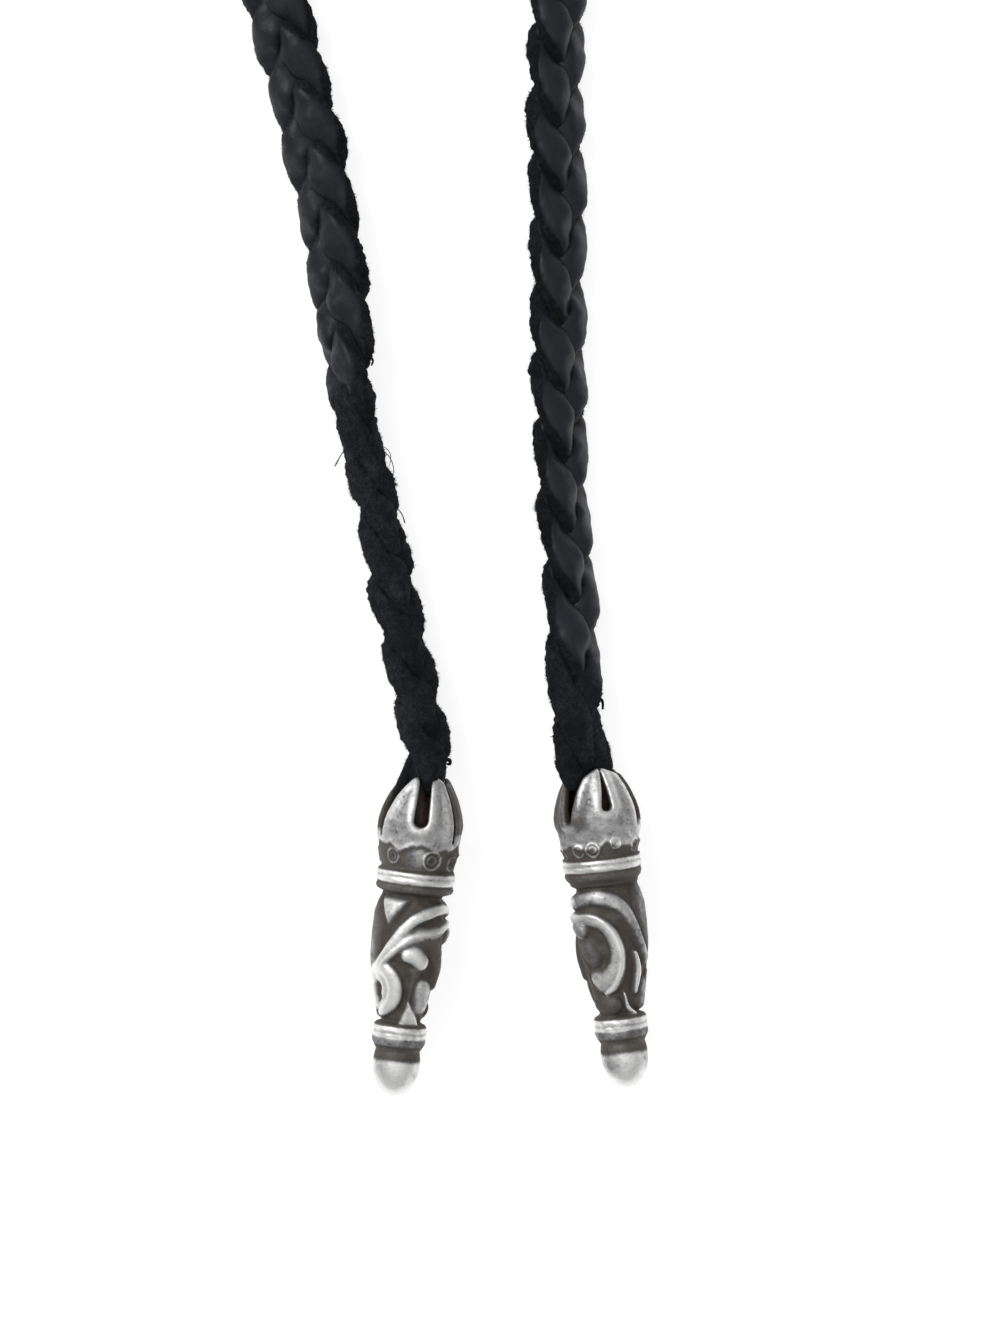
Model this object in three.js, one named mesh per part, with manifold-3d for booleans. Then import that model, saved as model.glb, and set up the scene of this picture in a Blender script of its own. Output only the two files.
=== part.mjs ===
// Braided leather necklace with a cast silver tip on each end, lying open on a table.
// Millimetres, +Z up, the table at z = 0 and the origin under the middle of the whole necklace.
import * as THREE from 'three';
import { mergeVertices } from 'three/addons/utils/BufferGeometryUtils.js';
import Module from 'manifold-3d';

const wasm = await Module();
wasm.setup();

// --- Driving sizes ---

const BRAID = { halfWidth: 3.3, halfThickness: 2.4, sides: 12, step: 10.5 };

// The end of the braid in a tip: how deep it goes, how thick it is squeezed, and how far it runs straight out of
// the mouth. Once clear of the mouth it swells to its full section, and over its descent it comes down onto the
// table.
const BRAID_END = { depth: 8, radius: 1.55, straight: 2, clear: 0.5, swell: 4, descent: 26 };

const TIP = { length: 35.2, bellRadius: 4.65, bellAt: 5.9, lipRadius: 2.5, mouthRadius: 1.95 };
const SOCKET = { floor: 9.6, radius: 2.3 };
const UPPER_RING = { at: 12, width: 2, radius: 4.28 };
const BODY = { at: 17.6, radius: 4.22 };
const LOWER_RING = { at: 28.9, width: 2.7, radius: 2.98 };
const DOME = { from: 32.4, radius: 2.45 };
const PETALS = 6;
const SEGMENTS = 30;

// The mouth of each tip, the way it points from mouth to dome, its turn about its own axis, and its slots.
const TIPS = [
  {
    name: 'left_tip', mouth: { x: 2.62, y: -166.96 }, heading: -6.03, spin: 2,
    slot: { top: 1.5, low: 1.7, depth: 5.7 },
  },
  {
    name: 'right_tip', mouth: { x: 20.69, y: -166.08 }, heading: 6.7, spin: 193,
    slot: { top: 0.5, low: 1.2, depth: 5.2 },
  },
];

// The middle of the braid from near the left tip, round the loop, to near the right tip.
// roll turns the flat braid about its run: at 0 its smooth face is up, at -90 it stands on its edge.
const ROUTE = [
  { x: 1.5, y: -158.2, roll: -112 },
  { x: -0.8, y: -147.6, roll: -111 },
  { x: -2.9, y: -137, roll: -106 },
  { x: -5.4, y: -126.5, roll: -80 },
  { x: -6.65, y: -115.9, roll: -46 },
  { x: -8.2, y: -105.4, roll: -36 },
  { x: -10.6, y: -94.8, roll: -30 },
  { x: -13.6, y: -83, roll: -25 },
  { x: -18.4, y: -66.5, roll: -22 },
  { x: -26, y: -43, roll: -16 },
  { x: -36.5, y: -11.5, roll: -10 },
  { x: -47, y: 20.5, roll: -5 },
  { x: -56.5, y: 54.5, roll: 0 },
  { x: -63.5, y: 92, roll: 0 },
  { x: -66, y: 130, roll: 0 },
  { x: -58, y: 164, roll: 0 },
  { x: -33.5, y: 189, roll: 0 },
  { x: 0, y: 198.5, roll: 0 },
  { x: 33, y: 189.5, roll: 0 },
  { x: 57.5, y: 165, roll: 0 },
  { x: 66, y: 131, roll: 0 },
  { x: 61.5, y: 92, roll: -4 },
  { x: 52, y: 54.5, roll: -10 },
  { x: 41, y: 20.5, roll: -18 },
  { x: 30.5, y: -11.5, roll: -26 },
  { x: 22.5, y: -41.5, roll: -36 },
  { x: 18, y: -68, roll: -46 },
  { x: 16.9, y: -91, roll: -46 },
  { x: 17.2, y: -105.4, roll: -45 },
  { x: 17.1, y: -115.9, roll: -46 },
  { x: 17.3, y: -126.5, roll: -52 },
  { x: 17.6, y: -137, roll: -54 },
  { x: 18.6, y: -147.6, roll: -53 },
  { x: 19, y: -158.2, roll: -50 },
];

// --- Materials ---

const leather = () => new THREE.MeshStandardMaterial({ color: 0x191a1d, roughness: 0.62, metalness: 0 });
const silver = () => new THREE.MeshStandardMaterial({ color: 0xb4b2ad, roughness: 0.3, metalness: 1 });

// --- Solids, joined and cut ---

// One closed mesh with shared corners and no triangle that has shrunk to a line.
function welded(geometry) {
  const bare = geometry.clone();
  bare.deleteAttribute('normal');
  bare.deleteAttribute('uv');
  const merged = mergeVertices(bare, 1e-4);
  const corners = merged.index.array;
  const kept = [];
  for (let i = 0; i < corners.length; i += 3) {
    const [a, b, c] = corners.slice(i, i + 3);
    if (a !== b && b !== c && c !== a) kept.push(a, b, c);
  }
  merged.setIndex(kept);
  return merged;
}

function solidOf(geometry) {
  const closed = welded(geometry);
  const vertProperties = new Float32Array(closed.attributes.position.array);
  const triVerts = new Uint32Array(closed.index.array);
  return new wasm.Manifold(new wasm.Mesh({ numProp: 3, vertProperties, triVerts }));
}

function geometryOf(solid) {
  const mesh = solid.getMesh();
  const geometry = new THREE.BufferGeometry();
  geometry.setAttribute('position', new THREE.BufferAttribute(mesh.vertProperties, 3));
  geometry.setIndex(new THREE.BufferAttribute(mesh.triVerts, 1));
  return geometry;
}

// --- Silver tip: mouth at the origin, dome towards -Y, first slot towards +Z ---

// A rounded band standing proud of the profile.
function band({ at, width, radius }, shoulder) {
  const edge = radius - shoulder;
  return [
    new THREE.Vector2(edge, -(at - width / 2)),
    new THREE.Vector2(radius, -(at - width / 4)),
    new THREE.Vector2(radius, -(at + width / 4)),
    new THREE.Vector2(edge, -(at + width / 2)),
  ];
}

// A smooth run of the profile through a few (radius, distance from the mouth) stations.
function swept(stations, steps) {
  const curve = new THREE.SplineCurve(stations.map(([radius, at]) => new THREE.Vector2(radius, -at)));
  return curve.getPoints(steps);
}

function tipProfile() {
  const bell = swept(
    [[TIP.lipRadius, 0], [3.72, 2.2], [4.45, 4.2], [TIP.bellRadius, TIP.bellAt], [4.42, 8], [4.3, 9.5], [3.95, 10.8]],
    12,
  );
  const body = swept(
    [[3.55, 13.3], [4.08, 15.2], [BODY.radius, BODY.at], [4.1, 20], [3.65, 22.8], [2.95, 25.6], [2.62, 27.2]], 12,
  );
  const dome = [];
  for (let i = 0; i <= 5; i += 1) {
    const turn = (i / 5) * (Math.PI / 2);
    const at = DOME.from + (TIP.length - DOME.from) * Math.sin(turn);
    dome.push(new THREE.Vector2(i < 5 ? DOME.radius * Math.cos(turn) : 0, -at));
  }
  const hollow = [[0, SOCKET.floor], [SOCKET.radius, SOCKET.floor], [3.2, 8.3], [3.75, 6], [3.5, 4], [2.85, 2]];
  return [
    ...hollow.map(([radius, at]) => new THREE.Vector2(radius, -at)),
    new THREE.Vector2(TIP.mouthRadius, 0),
    ...bell,
    ...band(UPPER_RING, 0.45),
    ...body,
    ...band(LOWER_RING, 0.35),
    new THREE.Vector2(DOME.radius, -(DOME.from - 1.6)),
    ...dome,
  ];
}

// The U-shaped gap between two petals, open at the mouth, cut outwards from the hollow.
function slotCutter({ top, low, depth }) {
  const outline = new THREE.Shape();
  outline.moveTo(top / 2, 1);
  outline.lineTo(-top / 2, 1);
  outline.lineTo(-low / 2, low / 2 - depth);
  outline.absarc(0, low / 2 - depth, low / 2, Math.PI, 2 * Math.PI, false);
  outline.closePath();
  const cutter = new THREE.ExtrudeGeometry(outline, {
    depth: TIP.bellRadius, bevelEnabled: false, curveSegments: 6,
  });
  return cutter.translate(0, 0, 1.2);
}

function tipGeometry(slot) {
  let casting = solidOf(new THREE.LatheGeometry(tipProfile().reverse(), SEGMENTS));
  for (let i = 0; i < PETALS; i += 1) {
    const cutter = slotCutter(slot).rotateY((i * 2 * Math.PI) / PETALS);
    casting = casting.subtract(solidOf(cutter));
  }
  return geometryOf(casting);
}

// A tip lies on its bell and the widest part of its body, so its axis slopes down a little towards the dome.
const SLOPE = Math.atan((TIP.bellRadius - BODY.radius) / (BODY.at - TIP.bellAt));
const AXIS_HEIGHT_AT_MOUTH = TIP.bellRadius / Math.cos(SLOPE) + TIP.bellAt * Math.sin(SLOPE);

function tipMesh({ name, mouth, heading, spin, slot }) {
  const mesh = new THREE.Mesh(tipGeometry(slot), silver());
  mesh.name = name;
  mesh.rotation.order = 'ZXY';
  mesh.rotation.set(SLOPE, THREE.MathUtils.degToRad(spin), THREE.MathUtils.degToRad(heading));
  mesh.position.set(mouth.x, mouth.y, AXIS_HEIGHT_AT_MOUTH);
  const lowest = new THREE.Box3().setFromObject(mesh, true).min.z;
  mesh.position.z -= lowest;
  return mesh;
}

// --- Braid: one oval tube along the route, with a narrow flat under it where it rests ---

// In a tip and just out of its mouth the braid keeps to the tip's axis. The rows go from its end outwards.
function rowsInTip({ mouth, heading }, roll) {
  const { depth, straight } = BRAID_END;
  const turn = THREE.MathUtils.degToRad(heading);
  return [depth, (depth - straight) / 2, -straight].map((inside) => (
    { x: mouth.x + inside * Math.sin(turn), y: mouth.y - inside * Math.cos(turn), roll }
  ));
}

const wholeRoute = [
  ...rowsInTip(TIPS[0], ROUTE[0].roll),
  ...ROUTE,
  ...rowsInTip(TIPS[1], ROUTE[ROUTE.length - 1].roll).reverse(),
];
const smooth = (points) => new THREE.CatmullRomCurve3(points, false, 'catmullrom');
const run = smooth(wholeRoute.map(({ x, y }) => new THREE.Vector3(x, y, 0)));
const rolls = smooth(wholeRoute.map(({ roll }, i) => new THREE.Vector3(i, THREE.MathUtils.degToRad(roll), 0)));
run.arcLengthDivisions = 2000;
const RUN_LENGTH = run.getLength();

// Distances along the run at which the tube has a section: close together at the mouths, then even steps.
function stations() {
  const { depth, clear, swell } = BRAID_END;
  const near = [0, depth, depth + clear, depth + swell / 2, depth + swell, depth + 2.5 * swell];
  const start = near[near.length - 1];
  const steps = Math.ceil((RUN_LENGTH - 2 * start) / BRAID.step);
  const even = Array.from({ length: steps - 1 }, (_, i) => start + ((i + 1) * (RUN_LENGTH - 2 * start)) / steps);
  return [...near, ...even, ...near.map((distance) => RUN_LENGTH - distance).reverse()];
}

// Radius of the rolled oval section towards a direction given as an angle up from the side.
function ovalRadius(halfWidth, halfThickness, direction) {
  const across = halfThickness * Math.cos(direction);
  const through = halfWidth * Math.sin(direction);
  return (halfWidth * halfThickness) / Math.hypot(across, through);
}

function sectionAt(distance) {
  const t = run.getUtoTmapping(distance / RUN_LENGTH);
  const centre = run.getPoint(t);
  const tangent = run.getTangent(t);
  const roll = rolls.getPoint(t).y;
  const outside = Math.min(distance, RUN_LENGTH - distance) - BRAID_END.depth;
  const full = THREE.MathUtils.smoothstep(outside, BRAID_END.clear, BRAID_END.swell);
  const halfWidth = THREE.MathUtils.lerp(BRAID_END.radius, BRAID.halfWidth, full);
  const halfThickness = THREE.MathUtils.lerp(BRAID_END.radius, BRAID.halfThickness, full);
  const radius = (angle) => ovalRadius(halfWidth, halfThickness, angle - roll);
  const half = Math.PI / BRAID.sides;
  const resting = Math.cos(half) * Math.min(radius(-Math.PI / 2 - half), radius(-Math.PI / 2 + half));
  const onAxis = AXIS_HEIGHT_AT_MOUTH + outside * Math.tan(SLOPE);
  const raised = 1 - THREE.MathUtils.smoothstep(outside, 0, BRAID_END.descent);
  centre.z = THREE.MathUtils.lerp(resting, onAxis, raised);
  const side = new THREE.Vector3(-tangent.y, tangent.x, 0).normalize();
  return { centre, side, radius };
}

function braidMesh() {
  const sections = stations().map(sectionAt);
  const spans = sections.length - 1;
  const tube = new THREE.CylinderGeometry(1, 1, 1, BRAID.sides, spans);
  const corner = tube.attributes.position;
  for (let i = 0; i < corner.count; i += 1) {
    const { centre, side, radius } = sections[Math.round((0.5 - corner.getY(i)) * spans)];
    const angle = Math.atan2(corner.getZ(i), corner.getX(i)) + Math.PI / BRAID.sides;
    const reach = Math.hypot(corner.getX(i), corner.getZ(i)) * radius(angle);
    const point = centre.clone().addScaledVector(side, reach * Math.cos(angle));
    corner.setXYZ(i, point.x, point.y, Math.max(0, centre.z + reach * Math.sin(angle)));
  }
  const mesh = new THREE.Mesh(welded(tube), leather());
  mesh.name = 'braid';
  return mesh;
}

const necklace = new THREE.Group();
necklace.add(braidMesh(), ...TIPS.map(tipMesh));

export default necklace;
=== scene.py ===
import math

import bpy
import numpy as np
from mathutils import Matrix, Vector


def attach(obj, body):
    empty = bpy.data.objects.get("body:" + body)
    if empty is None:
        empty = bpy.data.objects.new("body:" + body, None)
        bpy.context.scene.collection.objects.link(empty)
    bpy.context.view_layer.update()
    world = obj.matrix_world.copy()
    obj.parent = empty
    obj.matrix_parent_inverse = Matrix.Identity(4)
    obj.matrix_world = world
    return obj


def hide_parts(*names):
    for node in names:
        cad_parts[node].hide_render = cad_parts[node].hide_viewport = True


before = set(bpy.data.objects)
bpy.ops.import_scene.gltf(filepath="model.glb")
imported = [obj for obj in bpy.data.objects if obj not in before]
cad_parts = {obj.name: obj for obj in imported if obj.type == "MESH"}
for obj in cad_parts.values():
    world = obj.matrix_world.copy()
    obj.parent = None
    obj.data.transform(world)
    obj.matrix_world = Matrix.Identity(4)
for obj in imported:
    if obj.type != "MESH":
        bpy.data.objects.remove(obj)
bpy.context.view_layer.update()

MM = 0.001

# ------------------------------------------------
# Camera, looking straight down on the two ends of the necklace through a long lens.
# The necklace lies flat on a light table, and up in the view is the frame's +Y.

VIEW_HEIGHT = 146.6 * MM
VIEW_CENTRE = Vector((10.7 * MM, -154.9 * MM, 4.5 * MM))
LENS = 120.0
SENSOR = 36.0


def put(name, data):
    """A new object in the scene, at the origin."""
    made = bpy.data.objects.new(name, data)
    bpy.context.collection.objects.link(made)
    return made


camera_data = bpy.data.cameras.new("camera")
camera_data.sensor_fit = "VERTICAL"
camera_data.sensor_height = SENSOR
camera_data.lens = LENS
camera_data.clip_start = 0.01
camera_data.clip_end = 50.0
camera = put("camera", camera_data)
camera.location = VIEW_CENTRE + Vector((0, 0, VIEW_HEIGHT * LENS / SENSOR))
bpy.context.scene.camera = camera
bpy.context.scene.view_settings.view_transform = "Standard"

# ------------------------------------------------
# Light table and tent. The table is a sheet of opal glass lit from below, and a white tent stands round it,
# open at the top. The classes here write node trees: a Plan adds nodes, and its Wires take part in sums.


def operation(name):
    """A method that puts a Wire through one operation, with a second value where that takes two."""
    return lambda wire, *value: wire.sum(name, wire, *value)


class Wire:
    """One output of a node. A sum on it adds its own nodes."""

    def __init__(self, plan, socket):
        self.plan = plan
        self.socket = socket

    def other(self, name):
        return Wire(self.plan, self.socket.node.outputs[name])

    def sum(self, name, first, second=None):
        values = [value for value in (first, second) if value is not None]
        vectors = [value for value in values if is_vector(value)]
        if not vectors:
            return self.plan.node("ShaderNodeMath", {"operation": name}, dict(enumerate(values)))
        if name == "MULTIPLY" and len(vectors) == 1:
            number = values[1] if vectors[0] is values[0] else values[0]
            sockets = {0: vectors[0], "Scale": number}
            return self.plan.node("ShaderNodeVectorMath", {"operation": "SCALE"}, sockets)
        return self.plan.node("ShaderNodeVectorMath", {"operation": name}, dict(enumerate(values)))

    __add__ = __radd__ = operation("ADD")
    __sub__ = operation("SUBTRACT")
    __mul__ = __rmul__ = operation("MULTIPLY")
    __pow__ = operation("POWER")
    sin = operation("SINE")
    cos = operation("COSINE")
    abs = operation("ABSOLUTE")
    sign = operation("SIGN")
    most = operation("MAXIMUM")
    unit = operation("NORMALIZE")

    def __rsub__(self, value):
        return self.sum("SUBTRACT", value, self)

    def dot(self, value):
        return self.sum("DOT_PRODUCT", self, value).other("Value")

    def part(self, letter):
        return self.plan.node("ShaderNodeSeparateXYZ", {}, {"Vector": self}, letter)

    def rise(self, low, high, start=0.0, end=1.0):
        """A smooth step from start to end while this goes from low to high."""
        sockets = {"Value": self, "From Min": low, "From Max": high, "To Min": start, "To Max": end}
        return self.plan.node("ShaderNodeMapRange", {"interpolation_type": "SMOOTHSTEP"}, sockets)

    def pick(self, first, second):
        """A colour from first to second as this goes from 0 to 1."""
        sockets = {"Factor": self, 6: first, 7: second}
        return self.plan.node("ShaderNodeMix", {"data_type": "RGBA"}, sockets, 2)


def is_vector(value):
    if isinstance(value, Wire):
        return value.socket.type in {"VECTOR", "RGBA"}
    return not isinstance(value, (int, float))


class Plan:
    """A node tree in the making. node() adds one of any type: its settings first, then its sockets."""

    def __init__(self, tree):
        self.tree = tree

    def join(self, value, socket):
        if isinstance(value, Wire):
            self.tree.links.new(value.socket, socket)
        else:
            socket.default_value = value

    def node(self, kind, settings=(), sockets=(), out=0):
        made = self.tree.nodes.new(kind)
        for name, value in dict(settings).items():
            if name == "stops":
                while len(made.color_ramp.elements) < len(value):
                    made.color_ramp.elements.new(1.0)
                for element, (place, colour) in zip(made.color_ramp.elements, value):
                    element.position = place
                    element.color = colour
            else:
                setattr(made, name, value)
        for name, value in dict(sockets).items():
            self.join(value, made.inputs[name])
        return Wire(self, made.outputs[out])

    def end(self, kind, value):
        """The last node of the tree, with the value as its first input."""
        self.join(value, self.tree.nodes.new(kind).inputs[0])


def grey(value):
    return (value, value, value, 1.0)


def surface(name):
    """A new material and the Plan of its empty tree."""
    material = bpy.data.materials.new(name)
    material.use_nodes = True
    material.node_tree.nodes.clear()
    return material, Plan(material.node_tree)


TABLE_SIZE = 14.0
TABLE_GLOW = 0.80
TABLE_ALBEDO = 0.38
TABLE_MOTTLE = 0.01

table_material, plan = surface("opal_table")
mottle = plan.node("ShaderNodeTexNoise", {}, {"Scale": 3.0, "Detail": 2.0})
opal = mottle.pick(grey(TABLE_ALBEDO), grey(TABLE_ALBEDO + TABLE_MOTTLE))
diffuse = plan.node("ShaderNodeBsdfDiffuse", {}, {"Color": opal})
glow = plan.node("ShaderNodeEmission", {}, {"Color": grey(1.0), "Strength": TABLE_GLOW})
plan.end("ShaderNodeOutputMaterial", plan.node("ShaderNodeAddShader", {}, {0: diffuse, 1: glow}))

table_mesh = bpy.data.meshes.new("opal_table")
half = TABLE_SIZE / 2
table_corners = [(-half, -half, 0), (half, -half, 0), (half, half, 0), (-half, half, 0)]
table_mesh.from_pydata(table_corners, [], [(0, 1, 2, 3)])
table_mesh.materials.append(table_material)
table = put("opal_table", table_mesh)

# Brightness of the tent against height: 0 level with the table, 1 overhead.
TENT_BRIGHTNESS = [(0.0, 0.34), (0.3, 0.34), (0.6, 0.45), (0.8, 0.65), (0.93, 0.88), (1.0, 0.95)]

tent = bpy.data.worlds.new("tent")
tent.use_nodes = True
bpy.context.scene.world = tent
tent.node_tree.nodes.clear()
plan = Plan(tent.node_tree)
height = plan.node("ShaderNodeTexCoord", {}, {}, "Generated").part("Z")
stops = [(place, grey(brightness)) for place, brightness in TENT_BRIGHTNESS]
cloth = plan.node("ShaderNodeValToRGB", {"stops": stops}, {"Fac": height})
plan.end("ShaderNodeOutputWorld", plan.node("ShaderNodeBackground", {}, {"Color": cloth, "Strength": 1.0}))

key_data = bpy.data.lights.new("key", "AREA")
key_data.size = 0.9
key_data.energy = 14.0
key = put("key", key_data)
key.location = (-0.9, 0.7, 1.1)
key_aim = Vector((0, -0.15, 0))
key.rotation_euler = (key_aim - key.location).to_track_quat("-Z", "Y").to_euler()

# ------------------------------------------------
# Plait: three flat black leather laces, smooth grain outside and napped flesh inside, cut with raw edges.
# They are plaited over one another along the whole length, and both ends are pushed into the silver tips.
# Lengths are in millimetres until a mesh is made, and angles in degrees where a name doesn't say otherwise.

TIP_AXES = {
    "left_tip": {"mouth": (2.62, -166.96), "heading": -6.03},
    "right_tip": {"mouth": (20.69, -166.08), "heading": 6.7},
}
AXIS_HEIGHT = 4.87
AXIS_SLOPE = math.radians(2.1)
END_DEPTH = 8.0
END_STRAIGHT = 2.0

# The middle of the plait from the left tip round the loop to the right tip: x, y and roll, where a roll of 0
# has the smooth side up and one of -90 stands the plait on its edge.
ROUTE = [
    (1.5, -158.2, -112), (-0.8, -147.6, -111), (-2.9, -137, -106), (-5.4, -126.5, -80), (-6.65, -115.9, -46),
    (-8.2, -105.4, -36), (-10.6, -94.8, -30), (-13.6, -83, -25), (-18.4, -66.5, -22), (-26, -43, -16),
    (-36.5, -11.5, -10), (-47, 20.5, -5), (-56.5, 54.5, 0), (-63.5, 92, 0), (-66, 130, 0), (-58, 164, 0),
    (-33.5, 189, 0), (0, 198.5, 0), (33, 189.5, 0), (57.5, 165, 0), (66, 131, 0), (61.5, 92, -4),
    (52, 54.5, -10), (41, 20.5, -18), (30.5, -11.5, -26), (22.5, -41.5, -36), (18, -68, -46),
    (16.9, -91, -46), (17.2, -105.4, -45), (17.1, -115.9, -46), (17.3, -126.5, -52), (17.6, -137, -54),
    (18.6, -147.6, -53), (19, -158.2, -50),
]


def rows_in_tip(tip, roll):
    """Where the plait runs on the axis of a tip: deep inside, near the mouth and just outside."""
    x, y = TIP_AXES[tip]["mouth"]
    turn = math.radians(TIP_AXES[tip]["heading"])
    places = (END_DEPTH, (END_DEPTH - END_STRAIGHT) / 2, -END_STRAIGHT)
    return [(x + inside * math.sin(turn), y - inside * math.cos(turn), roll) for inside in places]


def catmull_rom(rows, steps):
    """Points of the smooth curve through the rows, with the same end rule at both ends."""
    rows = np.array(rows, float)
    padded = np.vstack([2 * rows[0] - rows[1], rows, 2 * rows[-1] - rows[-2]])
    t = np.linspace(0, 1, steps, endpoint=False)[:, None]
    spans = []
    for a, b, c, d in zip(padded, padded[1:], padded[2:], padded[3:]):
        bend = 2 * a - 5 * b + 4 * c - d
        twist = 3 * b - a - 3 * c + d
        spans.append(0.5 * (2 * b + (c - a) * t + bend * t**2 + twist * t**3))
    return np.vstack([*spans, rows[-1:]])


def smoothstep(value, low, high):
    t = np.clip((value - low) / (high - low), 0, 1)
    return t * t * (3 - 2 * t)


def hump(value, centre, width):
    """One at the centre, falling smoothly to nothing on both sides."""
    return np.exp(-(((value - centre) / width) ** 2))


# The rows stand closer together for the last stretch at each end, where the laces are at their roughest.
FINE_STEP = 0.25
PLAIN_STEP = 0.6
FINE_LENGTH = 145.0
FINE_FADE = 20.0

whole_route = rows_in_tip("left_tip", ROUTE[0][2]) + ROUTE + rows_in_tip("right_tip", ROUTE[-1][2])[::-1]
fine = catmull_rom(whole_route, 60)
along = np.concatenate([[0], np.cumsum(np.hypot(*np.diff(fine[:, :2], axis=0).T))])
RUN = along[-1]
closeness = np.interp(
    np.arange(0, RUN),
    [FINE_LENGTH, FINE_LENGTH + FINE_FADE, RUN - FINE_LENGTH - FINE_FADE, RUN - FINE_LENGTH],
    [1 / FINE_STEP, 1 / PLAIN_STEP, 1 / PLAIN_STEP, 1 / FINE_STEP],
)
counted = np.concatenate([[0], np.cumsum(closeness)])
row_numbers = np.linspace(0, counted[-1], round(counted[-1]) + 1)
run = np.interp(row_numbers, counted, np.linspace(0, RUN, len(counted)))
middle_x, middle_y, roll = (np.interp(run, along, fine[:, k]) for k in range(3))
outside = np.minimum(run, RUN - run) - END_DEPTH

# Just above the right mouth the plait sags out over the petals on the left.
SAG = 0.75
middle_x = middle_x - SAG * hump(RUN - run - END_DEPTH, 1.5, 4.0)
roll = np.radians(roll)
tangent_x = np.gradient(middle_x, run)
tangent_y = np.gradient(middle_y, run)
pace = np.hypot(tangent_x, tangent_y)
side = np.stack([-tangent_y / pace, tangent_x / pace, np.zeros_like(run)], 1)
up = np.array([0.0, 0.0, 1.0])
across = np.cos(roll)[:, None] * side + np.sin(roll)[:, None] * up
front = -np.sin(roll)[:, None] * side + np.cos(roll)[:, None] * up

# Each lace swings from side to side by SPREAD and over and under by DEPTH. The plait rests on the table by
# its half width or half thickness, and climbs to the axis of a tip over its last DESCENT.
LACE_WIDTH = 3.9
LACE_THICKNESS = 2.6
SPREAD = 1.8
DEPTH = 0.9
REST_HALF_WIDTH = 3.45
REST_HALF_THICKNESS = 2.2
DESCENT = 26.0

resting = np.hypot(REST_HALF_WIDTH * np.sin(roll), REST_HALF_THICKNESS * np.cos(roll))
on_axis = AXIS_HEIGHT + outside * math.tan(AXIS_SLOPE)
middle_z = resting + (on_axis - resting) * (1 - smoothstep(outside, 0, DESCENT))

# The mouths hold the laces from HELD_TO outwards until they are free. They are drawn together into the left
# mouth and bulge over the petals of the right one, and inside the bells they spread again.
HELD_TO = -2.4
LEFT_FREE_AT = 1.5
RIGHT_FREE_AT = 0.6
BELL_SPREAD = 0.65
BELL_FROM = 1.5
BELL_TO = 4.5
hold = 1 - smoothstep(outside, HELD_TO, np.where(run < RUN / 2, LEFT_FREE_AT, RIGHT_FREE_AT))
hold = hold * (1 - BELL_SPREAD * smoothstep(-outside, BELL_FROM, BELL_TO))
tucked = smoothstep(-outside, 0.5, 3.0)

# The nap stands thickest on the last stretch by the tips.
FRESH_TO = 110
WORN_FROM = 170
fresh = 1 - smoothstep(outside, FRESH_TO, WORN_FROM)

# How far the laces turn flesh side out: wholly by the left tip, a little above it, mostly by the right tip.
LEFT_TURNED_TO = (44, 56)
LEFT_PARTLY_TO = (110, 150)
RIGHT_TURNED_FROM = (24, 15)
TURNED_SHARE = 0.7
PARTLY_SHARE = 0.3
flesh_out = TURNED_SHARE * (1 - smoothstep(run, *LEFT_TURNED_TO))
flesh_out = flesh_out + PARTLY_SHARE * (1 - smoothstep(run, *LEFT_PARTLY_TO))
flesh_out = flesh_out + TURNED_SHARE * smoothstep(run, *(RUN - np.array(RIGHT_TURNED_FROM)))

# One turn is a lace's way from one edge over to the other and back. The left end is plaited tighter, and the
# right end slackens towards its tip. The count is set at both tips and evened out round the loop.
LEFT_TURN = 20.4
LEFT_COUNT = 0.175
RIGHT_COUNT = -0.062
# Length of a turn against the distance from the right end.
RIGHT_TURNS = [(-95, 20.6), (-65, 22.0), (-45, 22.6), (-36, 23.9), (-21, 24.5), (-13, 33.0)]
EVENED_FROM = 200

looser = smoothstep(run, EVENED_FROM, RUN - EVENED_FROM)
right_turn = np.interp(run - RUN, *zip(*RIGHT_TURNS))
turn_length = LEFT_TURN + (right_turn - LEFT_TURN) * looser
turned = np.concatenate([[0], np.cumsum(np.diff(run) / turn_length[1:])])
slack = (RIGHT_COUNT - LEFT_COUNT - turned[-1]) % (1 / 3)
turns = LEFT_COUNT + turned + slack * looser

route_mesh = bpy.data.meshes.new("route")
route_points = np.stack([middle_x, middle_y, middle_z], 1) * MM
route_mesh.from_pydata(route_points.tolist(), [(i, i + 1) for i in range(len(run) - 1)], [])
for name, values in (("across", across), ("front", front)):
    route_mesh.attributes.new(name, "FLOAT_VECTOR", "POINT").data.foreach_set("vector", values.ravel())
for name, values in (
    ("turns", turns), ("hold", hold), ("fresh", fresh), ("flesh_out", flesh_out), ("tucked", tucked),
):
    route_mesh.attributes.new(name, "FLOAT", "POINT").data.foreach_set("value", values)


def noise(place, scale, detail, roughness=0.5):
    """Cloudy noise in the tree that plan is writing."""
    sockets = {"Vector": place, "Scale": scale, "Detail": detail, "Roughness": roughness}
    return plan.node("ShaderNodeTexNoise", {}, sockets)


def painted(name):
    """A number that the mesh of a piece carries, for its material."""
    return plan.node("ShaderNodeAttribute", {"attribute_name": name}, {}, "Fac")


def combined(x, y, z=0.0):
    """A vector from its three parts."""
    return plan.node("ShaderNodeCombineXYZ", {}, {"X": x, "Y": y, "Z": z})


def finish_material(relief, strength, depth, sockets):
    """The last nodes of a material: its relief as a bump, and the shader with its other sockets."""
    bump = plan.node("ShaderNodeBump", {}, {"Strength": strength, "Distance": depth, "Height": relief})
    shader = plan.node("ShaderNodeBsdfPrincipled", {}, {**sockets, "Normal": bump})
    plan.end("ShaderNodeOutputMaterial", shader)


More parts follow.
